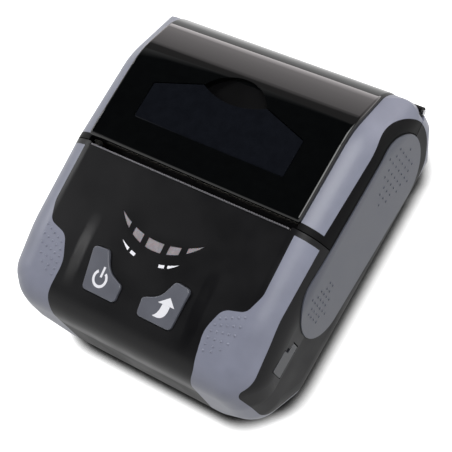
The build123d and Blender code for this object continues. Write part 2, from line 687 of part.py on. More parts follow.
# Chassis: two plates, floor, spring shelf and tie bars
PLATE_OUTLINE = [
    (-13.0, CHASSIS_FLOOR[0], 1.0),
    (12.5, CHASSIS_FLOOR[0], 1.0),
    (12.5, 43.0, 1.0),
    (-1.5, 43.0, 1.0),
    (-3.0, 46.0, 0.5),
    (-13.0, 46.0, 1.0),
]
SLOT_OUTLINE = [(2.0, PLATEN_Z, 0.0), (8.8, PLATEN_Z, 0.0), (11.0, 44.0, 0.0), (1.8, 44.0, 0.0)]
BEARING_R = 3.2
SHELF_Z = (18.0, 19.2)
LEG_Z = (28.6, 29.8)
SPRING_XY = [(-10.0, -9.0), (30.0, -9.0)]

plate_right = side_prism(PLATE_OUTLINE, PLATE_X[0], PLATE_X[1])
chassis = both_sides(plate_right)
slot = side_prism(SLOT_OUTLINE, -FAR, FAR) + rod_x(PLATEN_Y, PLATEN_Z, BEARING_R + 0.2, -FAR, FAR)
chassis -= slot
span = (-PLATE_X[1], PLATE_X[1])
floor = block(span, (-13.0, 6.5), CHASSIS_FLOOR)
chassis += floor - rod_x(MOTOR_Y, MOTOR_Z, MOTOR_R + 0.2, -PLATE_X[0], -26.0)
chassis += block((-24.0, PLATE_X[1]), (-13.0, -5.4), SHELF_Z)
chassis += block((-25.2, -24.0), (-13.0, -5.4), (CHASSIS_FLOOR[0], SHELF_Z[1]))
chassis += block(span, (-13.0, -12.0), (33.0, 44.0))
chassis += block(span, (4.2, 6.8), (29.2, 30.4))
chassis -= rod_x(MOTOR_Y, MOTOR_Z, 1.6, -FAR, -PLATE_X[0])
chassis -= rod_x(HEAD_PIVOT_Y, HEAD_PIVOT_Z, HEAD_PIVOT_R, -FAR, FAR)
for x in (-BOSS_X, BOSS_X):
    for y in BOSS_Y:
        chassis -= rod_z(x, y, SCREW_HOLE_R, 7.0, 10.0)
chassis_screws = []
for x in (-BOSS_X, BOSS_X):
    for y in BOSS_Y:
        shank = rod_z(x, y, SCREW_R, 4.4, CHASSIS_FLOOR[1])
        chassis_screws.append(shank + rod_z(x, y, 2.0, CHASSIS_FLOOR[1], 10.4))
save("chassis_screws", chassis_screws)

# Gear train: the compound gear's axle is where both centre distances meet
near = MODULE * (PLATEN_TEETH + SMALL_TEETH) / 2
away = MODULE * (LARGE_TEETH + PINION_TEETH) / 2
dy = PLATEN_Y - MOTOR_Y
dz = PLATEN_Z - MOTOR_Z
apart = math.hypot(dy, dz)
along = (away**2 - near**2 + apart**2) / (2 * apart)
aside = math.sqrt(away**2 - along**2)
GEAR_Y = MOTOR_Y + along * dy / apart + aside * dz / apart
GEAR_Z = MOTOR_Z + along * dz / apart - aside * dy / apart
print(f"compound gear at y {GEAR_Y:.3f}, z {GEAR_Z:.3f}")
to_small = math.degrees(math.atan2(GEAR_Z - PLATEN_Z, GEAR_Y - PLATEN_Y))
to_pinion = math.degrees(math.atan2(MOTOR_Z - GEAR_Z, MOTOR_Y - GEAR_Y))
small_phase = mesh_phase(PLATEN_TEETH, 0.0, SMALL_TEETH, to_small)
pinion_phase = mesh_phase(LARGE_TEETH, 0.0, PINION_TEETH, to_pinion)

AXLE_R = 1.0
platen_gear = gear_x(PLATEN_TEETH, GEAR_PLANE_A[0], GEAR_PLANE_A[1], SHAFT_R, 0.0, PLATEN_Y, PLATEN_Z)
save("platen_gear", platen_gear)
small = gear_x(SMALL_TEETH, GEAR_PLANE_A[0], GEAR_PLANE_A[1], AXLE_R + RUN, small_phase, GEAR_Y, GEAR_Z)
large = gear_x(LARGE_TEETH, GEAR_PLANE_B[0], GEAR_PLANE_B[1], AXLE_R + RUN, 0.0, GEAR_Y, GEAR_Z)
reduction_gear = small + large
hub = rod_x(GEAR_Y, GEAR_Z, 2.5, GEAR_PLANE_B[1], GEAR_PLANE_A[0])
reduction_gear += hub - rod_x(GEAR_Y, GEAR_Z, AXLE_R + RUN, -FAR, 0.0)
save("reduction_gear", reduction_gear)
save("gear_axle", rod_x(GEAR_Y, GEAR_Z, AXLE_R, -49.0, -PLATE_X[1]))
pinion = gear_x(PINION_TEETH, GEAR_PLANE_B[0], GEAR_PLANE_B[1], AXLE_R, pinion_phase, MOTOR_Y, MOTOR_Z)
pinion += rod_x(MOTOR_Y, MOTOR_Z, AXLE_R, -48.7, -41.0)
save("motor_pinion", pinion)
motor = rod_x(MOTOR_Y, MOTOR_Z, MOTOR_R, -PLATE_X[0], -28.0)
motor -= rod_x(MOTOR_Y, MOTOR_Z, AXLE_R + RUN, -FAR, -40.5)
save("stepper_motor", motor)
save("chassis_frame", chassis)

# Print head on its sprung bracket
HEAD_Y = PLATEN_Y - PLATEN_R - HEAD_GAP
save("print_head", block((-HEAD_HALF, HEAD_HALF), (HEAD_Y - HEAD_T, HEAD_Y), (33.0, 45.0)))
sink_y = (HEAD_Y - HEAD_T - SINK_T, HEAD_Y - HEAD_T)
bracket = block((-HEAD_HALF, HEAD_HALF), sink_y, (31.5, 45.5))
bracket += rod_x(HEAD_PIVOT_Y, HEAD_PIVOT_Z, 2.6, -22.0, HEAD_HALF)
bracket += block((-HEAD_HALF, -36.0), (HEAD_PIVOT_Y - 2.0, HEAD_PIVOT_Y + 2.0), (30.4, 33.0))
bracket += block((-20.0, 40.0), (-12.0, HEAD_PIVOT_Y), LEG_Z)
bracket -= rod_x(HEAD_PIVOT_Y, HEAD_PIVOT_Z, HEAD_PIVOT_R + RUN, -FAR, FAR)
save("head_bracket", bracket)
save("head_pivot_pin", rod_x(HEAD_PIVOT_Y, HEAD_PIVOT_Z, HEAD_PIVOT_R, -PLATE_X[1], PLATE_X[1]))
spring = coil(2.2, 0.25, 6, LEG_Z[0] - SHELF_Z[1])
save("head_springs", [Pos(x, y, SHELF_Z[1]) * spring for x, y in SPRING_XY])
paper_sensor = block((-5.0, 5.0), (4.4, 6.6), (30.4, 32.6))
save("paper_sensor", paper_sensor - block((-1.0, 1.0), (5.0, 6.0), (32.0, 33.0)))

# Platen, carried by the lid
roller = rod_x(PLATEN_Y, PLATEN_Z, PLATEN_R, -PLATEN_HALF, PLATEN_HALF)
save("platen_roller", roller - rod_x(PLATEN_Y, PLATEN_Z, SHAFT_R, -FAR, FAR))
save("platen_shaft", rod_x(PLATEN_Y, PLATEN_Z, SHAFT_R, -SHAFT_END, PLATE_X[1] + 0.4))
bearing = rod_x(PLATEN_Y, PLATEN_Z, BEARING_R, PLATE_X[0] - 0.1, PLATE_X[1] + 0.15)
bearing -= rod_x(PLATEN_Y, PLATEN_Z, SHAFT_R + RUN, -FAR, FAR)
save("platen_bearings", [bearing, mirrored(bearing)])

# Lid: frame, glossy cover, grey bands
REST_X = (34.0, 36.0)
SCOOP_TOP = 39.9
SCOOP_LOW = 29.2
SCOOP_Y = 32.4
rise = SCOOP_TOP - SCOOP_Y
fall = SCOOP_Y - SCOOP_LOW
SCOOP_TOP_R = (SCOOP_HALF**2 + rise**2) / (2 * rise)
SCOOP_LOW_R = (SCOOP_HALF**2 + fall**2) / (2 * fall)
PADDLE_OUTLINE = [
    (-PADDLE_HALF, 13.2),
    (PADDLE_HALF, 13.2),
    (PADDLE_HALF, 26.6),
    (SCOOP_HALF, SCOOP_Y),
    (-SCOOP_HALF, SCOOP_Y),
    (-PADDLE_HALF, 26.6),
]


def paddle_prism(grow, z_low, z_high):
    """The opening paddle's outline, with the scoop's near edge cut into it."""
    points = PADDLE_OUTLINE
    line = FilletPolyline(*points, radius=0.6, close=True)
    face = make_face(line)
    if grow:
        face = offset(face, amount=grow)
    prism = Pos(0, 0, z_low) * extrude(face, z_high - z_low, dir=(0, 0, 1))
    return prism - rod_z(0, SCOOP_LOW + SCOOP_LOW_R, SCOOP_LOW_R - grow, z_low - 1, z_high + 1)


scoop = rod_z(0, SCOOP_TOP - SCOOP_TOP_R, SCOOP_TOP_R, 49.8, 60.0)
scoop &= rod_z(0, SCOOP_LOW + SCOOP_LOW_R, SCOOP_LOW_R + 0.5, 49.8, 60.0)
well_cut = paddle_prism(PADDLE_GAP, 51.0, 60.0) + scoop
barrel_reach = PADDLE_HALF + PADDLE_GAP
groove = rod_x(PADDLE_Y, PADDLE_Z, PADDLE_BARREL_R + 0.25, -barrel_reach, barrel_reach)
rod_groove = block((PADDLE_HALF, 43.2), (PADDLE_Y - 1.2, PADDLE_Y + 1.2), (40.0, 51.6))
rod_groove += block((41.4, 43.2), (PADDLE_Y - 1.8, PADDLE_Y + 4.2), (40.0, 51.6))
groove += both_sides(rod_groove)

lid_frame = SHELL & LID_SPACE
lid_frame -= block((-43.6, 43.6), (-5.0, COVER_FRONT_Y), (30.0, 60.0))
lid_frame -= well_cut
lid_frame -= groove
lid_frame += rod_x(HINGE_Y, HINGE_Z, KNUCKLE_R, -LID_BARREL_X, LID_BARREL_X)
lid_frame += block((-LID_BARREL_X, LID_BARREL_X), HINGE_WEB_Y, (HINGE_Z, HINGE_WEB_TOP))
for side in (-1, 1):
    low, high = sorted((side * LID_KNUCKLE_X[0], side * LID_KNUCKLE_X[1]))
    lid_frame += rod_x(HINGE_Y, HINGE_Z, KNUCKLE_R, low, high)
    lid_frame += block((low, high), HINGE_WEB_Y, (HINGE_Z, HINGE_WEB_TOP))
    low, high = sorted((side * 40.5, side * 41.5))
    lid_frame += block((low, high), (1.8, 9.0), (36.8, 49.4))
    low, high = sorted((side * REST_X[0], side * REST_X[1]))
    lid_frame += block((low, high), (12.0, 16.8), (47.6, 50.9))
lid_frame -= both_sides(band_tool & LID_SPACE)
lid_frame -= rod_x(HINGE_Y, HINGE_Z, HINGE_PIN_R + RUN, -FAR, FAR)
lid_frame -= rod_x(PLATEN_Y, PLATEN_Z, SHAFT_R + RUN, -FAR, FAR)
lid_frame -= rod_x(PADDLE_Y, PADDLE_Z, PADDLE_ROD_R + RUN, -43.2, 43.2)
save("lid_frame", lid_frame)
save("lid_band_right", lid_band_right)
save("lid_band_left", mirrored(lid_band_right))

lid_cover = rounded_form(COVER_OUTLINE, COVER_HALF_W, COVER_EDGE_R, [], 1, 0.0) - OUTER
lid_cover -= well_cut
lid_cover -= groove
save("lid_cover", lid_cover)

save("hinge_pin", rod_x(HINGE_Y, HINGE_Z, HINGE_PIN_R, -HINGE_PIN_END, HINGE_PIN_END))

# Opening paddle with its rod and latch hooks
paddle = paddle_prism(0.0, PADDLE_TOP - PADDLE_T, PADDLE_TOP)
paddle -= block((-FAR, FAR), (-FAR, PADDLE_Y), (40.0, 60.0))
paddle += rod_x(PADDLE_Y, PADDLE_Z, PADDLE_BARREL_R, -PADDLE_HALF, PADDLE_HALF)
paddle -= rod_x(PADDLE_Y, PADDLE_Z, PADDLE_ROD_R, -FAR, FAR)
save("open_paddle", paddle)
latch = rod_x(PADDLE_Y, PADDLE_Z, PADDLE_ROD_R, -HOOK_X[1], HOOK_X[1])
for side in (-1, 1):
    low, high = sorted((side * HOOK_X[0], side * HOOK_X[1]))
    latch += block((low, high), (PADDLE_Y - 1.1, PADDLE_Y + 1.1), (HOOK_Z - 0.9, PADDLE_Z + 0.4))
    low, high = sorted((side * HOOK_X[1], side * 44.1))
    latch += rod_x(PADDLE_Y, HOOK_Z, 0.9, low, high)
save("latch_rod", latch)
print("done")
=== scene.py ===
import math

import bpy
import numpy as np
from bpy.props import FloatProperty, FloatVectorProperty, PointerProperty
from mathutils import Matrix, Vector
from mathutils.bvhtree import BVHTree


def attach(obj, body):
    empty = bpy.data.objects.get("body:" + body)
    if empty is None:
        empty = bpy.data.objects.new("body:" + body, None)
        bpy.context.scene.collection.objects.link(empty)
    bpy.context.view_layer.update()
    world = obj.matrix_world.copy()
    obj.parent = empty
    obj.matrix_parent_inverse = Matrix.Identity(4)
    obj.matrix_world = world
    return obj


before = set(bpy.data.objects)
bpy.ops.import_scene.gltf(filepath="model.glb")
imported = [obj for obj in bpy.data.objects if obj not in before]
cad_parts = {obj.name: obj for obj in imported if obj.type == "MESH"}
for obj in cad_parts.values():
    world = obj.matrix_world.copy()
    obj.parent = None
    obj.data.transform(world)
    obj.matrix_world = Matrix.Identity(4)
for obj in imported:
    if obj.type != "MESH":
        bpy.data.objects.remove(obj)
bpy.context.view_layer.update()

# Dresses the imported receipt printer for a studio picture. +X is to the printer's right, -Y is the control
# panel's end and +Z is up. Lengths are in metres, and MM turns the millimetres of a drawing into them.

bl_info = {
    "name": "Receipt printer dresser",
    "version": (1, 0, 0),
    "blender": (4, 5, 0),
    "location": "3D View > Sidebar > Receipt printer",
    "description": "Finishes and fine details for a portable thermal receipt printer",
    "category": "Object",
}

MM = 0.001

# The printer's own sizes, repeated from its drawing, in millimetres. SHIFT_Y centres it on the origin.
SHIFT_Y = -0.741
GRIP_FACE_X = 53.9

# Widths of the narrow roundings on the edges of these nodes, where the surface turns by more than EDGE_ANGLE
# degrees. Each has EDGE_STEPS flats.
EDGE_WIDTHS = {"open_paddle": 0.3, "lid_cover": 0.25, "light_windows": 0.15, "port_cover": 0.15}
EDGE_STEPS = 6
EDGE_ANGLE = 50.0

# The panel's middle is a little higher than its sides. It falls by SHOULDER_DROP across SHOULDER_X on both
# sides, and the fall sets in between the first two of SHOULDER_Y and fades out between the last two.
SHOULDER_X = (22.8, 28.0)
SHOULDER_Y = (-50.0, -40.0, -34.0, -20.0)
SHOULDER_DROP = 0.8

# The cover's rear slope is crowned by CROWN_RISE between these two places.
CROWN_Y = (30.0, 62.0)
CROWN_RISE = 1.2

# Raised dots of one front guard, in six rows across it: (x, y) of a row's first and last dot, and how many.
GUARD_DOT_ROWS = [
    ((33.8, -36.0), (41.9, -32.5), 5),
    ((33.0, -38.4), (41.6, -35.7), 5),
    ((32.5, -40.6), (41.1, -38.8), 5),
    ((32.4, -42.8), (40.0, -42.0), 4),
    ((32.4, -44.9), (38.3, -44.6), 3),
    ((32.6, -47.0), (35.5, -46.4), 2),
]
# Raised dots of one side grip, in upright rows: (y, z) of a row's top dot, and how many. The next dot down
# is a step away, and each lies a little nearer the hinge than the one above it.
REAR_DOT_ROWS = [
    (45.7, 27.7, 1),
    (42.3, 34.3, 5),
    (39.5, 34.3, 5),
    (36.6, 37.4, 7),
    (34.0, 34.3, 5),
    (31.3, 34.3, 5),
    (28.9, 31.2, 3),
    (26.2, 31.2, 3),
    (23.6, 28.1, 1),
]
REAR_DOT_STEP = (0.27, -3.25)
FRONT_DOT_ROWS = [
    (-7.5, 31.1, 2),
    (-9.7, 31.1, 2),
    (-11.8, 33.7, 4),
    (-14.0, 33.7, 4),
    (-16.2, 36.2, 6),
    (-18.3, 33.7, 4),
    (-20.4, 33.7, 4),
]
FRONT_DOT_STEP = (0.05, -2.53)
# A dot is a flattened ball with this many rings between its poles, and corners on each ring.
DOT_RINGS = 4
DOT_TURNS = 8

# Printed marks. The dashes and wedges lie on an arc around (0, MARK_ARC_Y). MARK_SPANS gives each one's
# start and end in degrees from the arc's lowest point, and its outer radius at both.
MARK_ARC_Y = -3.7
MARK_INNER_R = 25.8
MARK_SPANS = [
    (-27.7, -18.3, 25.82, 26.9),
    (-15.7, -11.0, 26.9, 26.9),
    (11.0, 15.7, 26.9, 26.9),
    (18.3, 27.7, 26.9, 25.82),
]
MARK_STEPS = 7

# The standby symbol: an open ring, with RING_GAP degrees to each side of its top, and an upright bar.
RING_AT = (-13.2, -41.5)
RING_RADII = (2.1, 3.05)
RING_GAP = 36.0
RING_STEPS = 33
RING_BAR = ((-13.1, -41.0), (-12.85, -37.4), 0.42)

# The feed arrow: a bent stem that widens from its tail to its neck, and a head from its barbs to its tip.
ARROW_TAIL = (10.7, -44.5)
ARROW_TAIL_WIDTH = 0.05
ARROW_NECK = ((12.8, -39.9), (15.8, -39.9))
ARROW_BEND = ((12.7, -43.3), (16.1, -45.2))
ARROW_BARBS = ((11.0, -40.0), (17.6, -39.8))
ARROW_TIP = (14.8, -37.2)
ARROW_TIP_HALF = 0.03
ARROW_STEPS = 12

# Dots and printing are set on the solids along lines that fall from this height.
ABOVE = 100.0

# Most of a noise pattern lies between these two values.
NOISE_RANGE = (0.3, 0.7)

# Metals: name, colour, lowest and highest roughness, size of the marks in millimetres, how much finer they
# are along X, Y and Z, and the nodes. All marks are drawn coarser than the real ones, so that they show.
EVEN = (1.0, 1.0, 1.0)
METALS = [
    # Rolled rod and pins: bright, with long fine marks along X.
    ("rolled_stainless_steel", "#c3c4c6", 0.22, 0.34, 0.3, (0.05, 1.0, 1.0),
     ["latch_rod", "hinge_pin", "head_pivot_pin", "gear_axle", "platen_shaft"]),
    # Blackened strip: a dull dark shine along the teeth.
    ("blackened_steel_strip", "#77767a", 0.4, 0.5, 0.3, (0.05, 1.0, 1.0), ["tear_bar"]),
    # Zinc plate: pale and cloudy, with a soft shine.
    ("zinc_plated_steel", "#b4b7ba", 0.3, 0.45, 1.5, EVEN,
     ["chassis_frame", "board_screws", "case_screws", "chassis_screws", "head_springs", "stepper_motor",
      "usb_port", "wireless_module"]),
    # Turned brass: warm, with a fine grain.
    ("turned_brass", "#c8a45a", 0.25, 0.38, 0.5, EVEN,
     ["motor_pinion", "platen_bearings", "battery_contacts"]),
    # Extruded aluminium: grey, with die lines along X.
    ("extruded_aluminium", "#b9bbbe", 0.35, 0.5, 0.6, (0.1, 1.0, 1.0), ["head_bracket"]),
]

# Moulded and pressed parts: name, colour, lowest and highest roughness, IOR, size in millimetres of the
# cells over which the finish varies, and the nodes.
PLASTICS = [
    # Unpainted ABS inside the case: dull black with faint flow marks.
    ("moulded_black_abs", "#1c1c1e", 0.4, 0.55, 1.54, 2.0,
     ["paper_well", "battery_pack", "battery_latch", "paper_sensor"]),
    # Cast rubber: nearly no shine.
    ("black_rubber_feet", "#191919", 0.75, 0.88, 1.52, 0.8, ["rubber_feet"]),
    # Ground silicone: an even matt black.
    ("black_silicone_roller", "#202022", 0.55, 0.7, 1.43, 0.7, ["platen_roller"]),
    # Acetal: waxy and off-white.
    ("white_acetal_gears", "#e6e4dc", 0.35, 0.45, 1.48, 1.5, ["platen_gear", "reduction_gear"]),
    # Glazed ceramic: cream, smooth and bright.
    ("glazed_alumina", "#d8d2c4", 0.15, 0.3, 1.76, 1.5, ["print_head"]),
    # Solder mask: green, and slightly uneven over the tracks.
    ("green_solder_mask", "#1f5a34", 0.25, 0.4, 1.5, 1.2, ["keypad_board", "main_board"]),
    # Chip epoxy: a fine dull grit.
    ("moulded_chip_epoxy", "#232325", 0.5, 0.65, 1.55, 0.5, ["board_chips", "tact_switches"]),
    # Unlit lamps: milky and smooth.
    ("diffused_led_epoxy", "#dcdcd6", 0.2, 0.35, 1.53, 1.0, ["status_leds"]),
]

# Camera, from the vanishing lines of the picture: its place in metres and its right, down and forward
# directions in the printer's frame. LENS and SENSOR are in millimetres.
CAMERA_AT = (0.241481, -0.097917, 0.431834)
CAMERA_RIGHT = (0.7967541, 0.4953908, -0.3460792)
CAMERA_DOWN = (0.3523634, -0.8461074, -0.3999279)
CAMERA_FORWARD = (-0.4909408, 0.1966985, -0.8486971)
LENS = 111.374
SENSOR = 36.0

# Lamps: name, place and size in metres, and power in watts. All are aimed at LAMP_AIM.
LAMPS = [
    ("side_soft_box", (0.42, 0.28, 0.86), (0.6, 0.6), 7.0),
    ("left_strip", (-0.80, -0.06, 0.62), (0.5, 0.14), 2.2),
]
LAMP_AIM = (0.0, 0.0, 0.02)

# The floor reaches FLOOR_HALF metres to each side. It is lifted to white for the eye, and by MIRROR_PART of
# that for mirrors. Closer than SHADOW_REACH millimetres to the object it isn't lifted, and its colour is
# painted near-black, down to PAINTED_SHADOW_GREY: a painted contact shadow. Where to paint it is looked for
# around SHADOW_LEAN, towards the light, and it comes in as the open part of that half space falls across
# SHADOW_FADE.
FLOOR_HALF = 3.0
FLOOR_GREYS = (0.48, 0.5)
MIRROR_PART = 0.55
PAINTED_SHADOW_GREY = 0.03
SHADOW_REACH = 8.0
SHADOW_LEAN = (0.33, 0.45, 0.83)
SHADOW_FADE = (0.6, 0.97)

# The card that paints a reflection in polished parts: it glows, only mirrors see it, and it lights nothing.
# Its lowest and highest x, its y and its top in metres, its tint and strength, and its levels of grey in its
# glow, by height from 0 at the floor to 1 at the top. CARD_ENDS has the levels at those two.
PAINTED_REFLECTION_SPAN = (-3.0, 1.6, 1.3, 1.5)
CARD_TINT = (1.0, 0.94, 0.95)
CARD_STRENGTH = 5.5
CARD_LEVELS = [(0.35, 0.36), (0.58, 0.12), (0.60, 0.05)]
CARD_ENDS = (1.0, 0.05)

# The room: its grey light on the object, and what mirrors see of it, a pale wall that gives way to a dark
# ceiling as the way they look rises across WALL_FADE.
ROOM_STRENGTH = 0.36
WALL_STRENGTH = 1.1
WALL_FADE = (0.45, 0.72)
CEILING = (0.02, 0.02, 0.025, 1.0)
WHITE = (1.0, 1.0, 1.0, 1.0)


def linear(code):
    """An sRGB hex colour as linear red, green and blue."""
    parts = np.array([int(code[i:i + 2], 16) for i in (1, 3, 5)]) / 255.0
    return tuple(np.where(parts <= 0.04045, parts / 12.92, ((parts + 0.055) / 1.055) ** 2.4))


def length_setting(name, description, size):
    """A length that the sidebar shows, with its default in millimetres."""
    return FloatProperty(name=name, description=description, default=size * MM, unit="LENGTH")


def colour_setting(name, description, code):
    """A colour that the sidebar shows, with an sRGB hex default."""
    return FloatVectorProperty(
        name=name,
        description=description,
        subtype="COLOR",
        size=3,
        default=linear(code),
    )


class PrinterSizes(bpy.types.PropertyGroup):
    """Sizes of the fine details."""

    dot_radius: length_setting("Dot radius", "Radius of one raised dot on the guards and grips", 0.5)
    dot_height: length_setting("Dot height", "How far a raised dot stands out", 0.3)
    print_height: length_setting("Ink thickness", "Thickness of the white printing", 0.03)


class PrinterColours(bpy.types.PropertyGroup):
    """Colours of the finishes."""

    case: colour_setting("Case", "Black of the textured case", "#0e0e10")
    # A darker, duller copy of the case's black: painted shade for the frame in the recess under the cover.
    lid_frame_painted_shade: colour_setting("Lid inside", "Black of the lid's frame under the cover", "#060607")
    guard: colour_setting("Guards", "Grey of the soft-touch guards and bands", "#7f8292")
    grip: colour_setting("Side grips", "Grey of the side grips", "#4b4e59")
    # The flap is the grips' grey; this darker grey is painted shade for where it sits on the side.
    flap: colour_setting("Port cover", "Slate of the flap over the port", "#292b31")
    key: colour_setting("Buttons", "Slate of the two buttons", "#5e6069")
    cover: colour_setting("Lid cover", "Black of the polished lid cover", "#050606")
    paddle: colour_setting("Paddle", "Blue-black of the paddle that opens the lid", "#0f1116")
    window: colour_setting("Light windows", "Grey of the five unlit windows", "#969095")
    ink: colour_setting("Printing", "White of the printed marks", "#eeeef4")


def add_node(tree, kind, inputs=None, **settings):
    """Adds a node, sets its properties, and fills its sockets with values or links."""
    node = tree.nodes.new(kind)
    for key, value in settings.items():
        setattr(node, key, value)
    for name, value in (inputs or {}).items():
        if isinstance(value, bpy.types.NodeSocket):
            tree.links.new(value, node.inputs[name])
        else:
            node.inputs[name].default_value = value
    return node


def new_material(name):
    """An empty material and its node tree."""
    material = bpy.data.materials.new(name)
    material.use_nodes = True
    material.node_tree.nodes.clear()
    return material, material.node_tree


def rgba(colour, gain=1.0):
    """A colour property as four numbers, made lighter or darker by gain."""
    return tuple(min(1.0, c * gain) for c in colour) + (1.0,)


def grain(tree, size, detail=2.0, stretch=EVEN):
    """A noise pattern with grains of a size in millimetres, on Object coordinates: its Fac socket."""
    place = add_node(tree, "ShaderNodeTexCoord").outputs["Object"]
    if stretch != EVEN:
        mapping = add_node(tree, "ShaderNodeMapping", {"Vector": place, "Scale": stretch})
        place = mapping.outputs["Vector"]
    scale = 1.0 / (size * MM)
    noise = add_node(tree, "ShaderNodeTexNoise", {"Vector": place, "Scale": scale, "Detail": detail})
    return noise.outputs["Fac"]


def spread(tree, value, low, high):
    """Stretches the middle of a noise pattern to the range low to high: its Result socket."""
    start, end = NOISE_RANGE
    node = add_node(
        tree,
        "ShaderNodeMapRange",
        {"Value": value, "From Min": start, "From Max": end, "To Min": low, "To Max": high},
    )
    return node.outputs["Result"]


def two_tone(tree, factor, dark, light, ends=NOISE_RANGE):
    """A blend of two colours as a factor goes from one end to the other: its colour socket."""
    ramp = add_node(tree, "ShaderNodeValToRGB", {"Fac": factor})
    for stop, position, colour in zip(ramp.color_ramp.elements, ends, (dark, light)):
        stop.position = position
        stop.color = colour
    return ramp.outputs["Color"]


def bumped(tree, height, depth, under=None):
    """A bump of the given depth in millimetres, over another bump's normal if there is one: its socket."""
    bump = add_node(tree, "ShaderNodeBump", {"Height": height, "Distance": depth * MM})
    if under:
        tree.links.new(under, bump.inputs["Normal"])
    return bump.outputs["Normal"]


def shoulder_fall(tree):
    """Height of the panel's middle over its sides, from 1 to 0: the product of three smooth steps, at
    SHOULDER_X and at both ends of SHOULDER_Y."""
    place = add_node(tree, "ShaderNodeTexCoord").outputs["Object"]
    axes = add_node(tree, "ShaderNodeSeparateXYZ", {"Vector": place})
    out = add_node(tree, "ShaderNodeMath", {0: axes.outputs["X"]}, operation="ABSOLUTE").outputs["Value"]
    along = axes.outputs["Y"]
    limits = [
        (out, SHOULDER_X[1], SHOULDER_X[0]),
        (along, SHOULDER_Y[0] + SHIFT_Y, SHOULDER_Y[1] + SHIFT_Y),
        (along, SHOULDER_Y[3] + SHIFT_Y, SHOULDER_Y[2] + SHIFT_Y),
    ]
    steps = []
    for value, low, high in limits:
        step = add_node(
            tree,
            "ShaderNodeMapRange",
            {"Value": value, "From Min": low * MM, "From Max": high * MM},
            interpolation_type="SMOOTHSTEP",
        )
        steps.append(step.outputs["Result"])
    inside = add_node(tree, "ShaderNodeMath", {0: steps[1], 1: steps[2]}, operation="MULTIPLY")
    fall = add_node(tree, "ShaderNodeMath", {0: steps[0], 1: inside.outputs["Value"]}, operation="MULTIPLY")
    return fall.outputs["Value"]


def crown_height(tree):
    """Height of the crown on the cover's rear slope: 1 - t^2, for t from -1 to 1 across CROWN_Y."""
    place = add_node(tree, "ShaderNodeTexCoord").outputs["Object"]
    along = add_node(tree, "ShaderNodeSeparateXYZ", {"Vector": place}).outputs["Y"]
    start, end = ((y + SHIFT_Y) * MM for y in CROWN_Y)
    across = add_node(
        tree,
        "ShaderNodeMapRange",
        {"Value": along, "From Min": start, "From Max": end, "To Min": -1.0, "To Max": 1.0},
    ).outputs["Result"]
    square = add_node(tree, "ShaderNodeMath", {0: across, 1: across}, operation="MULTIPLY")
    crown = add_node(tree, "ShaderNodeMath", {0: 1.0, 1: square.outputs["Value"]}, operation="SUBTRACT")
    return crown.outputs["Value"]


def textured_abs(name, colour, shine, rough=(0.42, 0.54), shouldered=False):
    """ABS from a spark-eroded mould: dull and evenly pebbled, so that lamps show as broad soft patches, and
    the pebbles shade each other, which takes off some of the shine. The real pebbles are about 0.1 mm and
    are drawn at 0.5 mm, so that a pixel can show them."""
    material, tree = new_material(name)
    handled = grain(tree, 14.0)
    base = bumped(tree, shoulder_fall(tree), SHOULDER_DROP) if shouldered else None
    shader = add_node(
        tree,
        "ShaderNodeBsdfPrincipled",
        {
            "Base Color": two_tone(tree, handled, rgba(colour, 0.9), rgba(colour, 1.12)),
            "Roughness": spread(tree, handled, *rough),
            "IOR": 1.54,
            "Specular IOR Level": shine,
            "Normal": bumped(tree, grain(tree, 0.5, 3.0), 0.012, base),
        },
    )
    add_node(tree, "ShaderNodeOutputMaterial", {"Surface": shader.outputs["BSDF"]})
    return material


def soft_touch(name, colour):
    """Overmoulded thermoplastic elastomer: a fine matt skin with a faint pale sheen at grazing angles. The
    skin's grain is drawn at 0.45 mm, several times the real one, so that it shows."""
    material, tree = new_material(name)
    mottle = grain(tree, 9.0, 3.0)
    shader = add_node(
        tree,
        "ShaderNodeBsdfPrincipled",
        {
            "Base Color": two_tone(tree, mottle, rgba(colour, 0.95), rgba(colour, 1.06)),
            "Roughness": spread(tree, mottle, 0.34, 0.42),
            "IOR": 1.5,
            "Sheen Weight": 0.12,
            "Sheen Roughness": 0.4,
            "Normal": bumped(tree, grain(tree, 0.45, 3.0), 0.01),
        },
    )
    add_node(tree, "ShaderNodeOutputMaterial", {"Surface": shader.outputs["BSDF"]})
    return material


def gloss_cover(name, colour):
    """Polished black acrylic: a clear mirror skin over deep black, dulled a little by handling. The crown
    of its rear slope spreads a reflection over it."""
    material, tree = new_material(name)
    haze = grain(tree, 3.0, 4.0)
    shader = add_node(
        tree,
        "ShaderNodeBsdfPrincipled",
        {
            "Base Color": two_tone(tree, haze, rgba(colour, 0.85), rgba(colour, 1.15)),
            "Roughness": spread(tree, haze, 0.03, 0.06),
            "IOR": 1.49,
            "Normal": bumped(tree, crown_height(tree), CROWN_RISE),
        },
    )
    add_node(tree, "ShaderNodeOutputMaterial", {"Surface": shader.outputs["BSDF"]})
    return material


def painted_key(name, colour):
    """Silk lacquer over a moulded key: smooth, with a soft even shine. Its mist is drawn at 0.4 mm, which
    is coarser than the real one, so that it shows."""
    material, tree = new_material(name)
    cloud = grain(tree, 6.0)
    shader = add_node(
        tree,
        "ShaderNodeBsdfPrincipled",
        {
            "Base Color": two_tone(tree, cloud, rgba(colour, 0.96), rgba(colour, 1.05)),
            "Roughness": spread(tree, cloud, 0.3, 0.38),
            "IOR": 1.5,
            "Normal": bumped(tree, grain(tree, 0.4), 0.004),
        },
    )
    add_node(tree, "ShaderNodeOutputMaterial", {"Surface": shader.outputs["BSDF"]})
    return material


def smoked_window(name, colour):
    """Milky smoked polycarbonate: light enters it a little, and its face is polished."""
    material, tree = new_material(name)
    cloud = grain(tree, 2.5)
    shader = add_node(
        tree,
        "ShaderNodeBsdfPrincipled",
        {
            "Base Color": two_tone(tree, cloud, rgba(colour, 0.96), rgba(colour, 1.04)),
            "Roughness": spread(tree, cloud, 0.22, 0.32),
            "IOR": 1.58,
            "Subsurface Weight": 0.25,
            "Subsurface Scale": 0.6 * MM,
        },
    )
    add_node(tree, "ShaderNodeOutputMaterial", {"Surface": shader.outputs["BSDF"]})
    return material


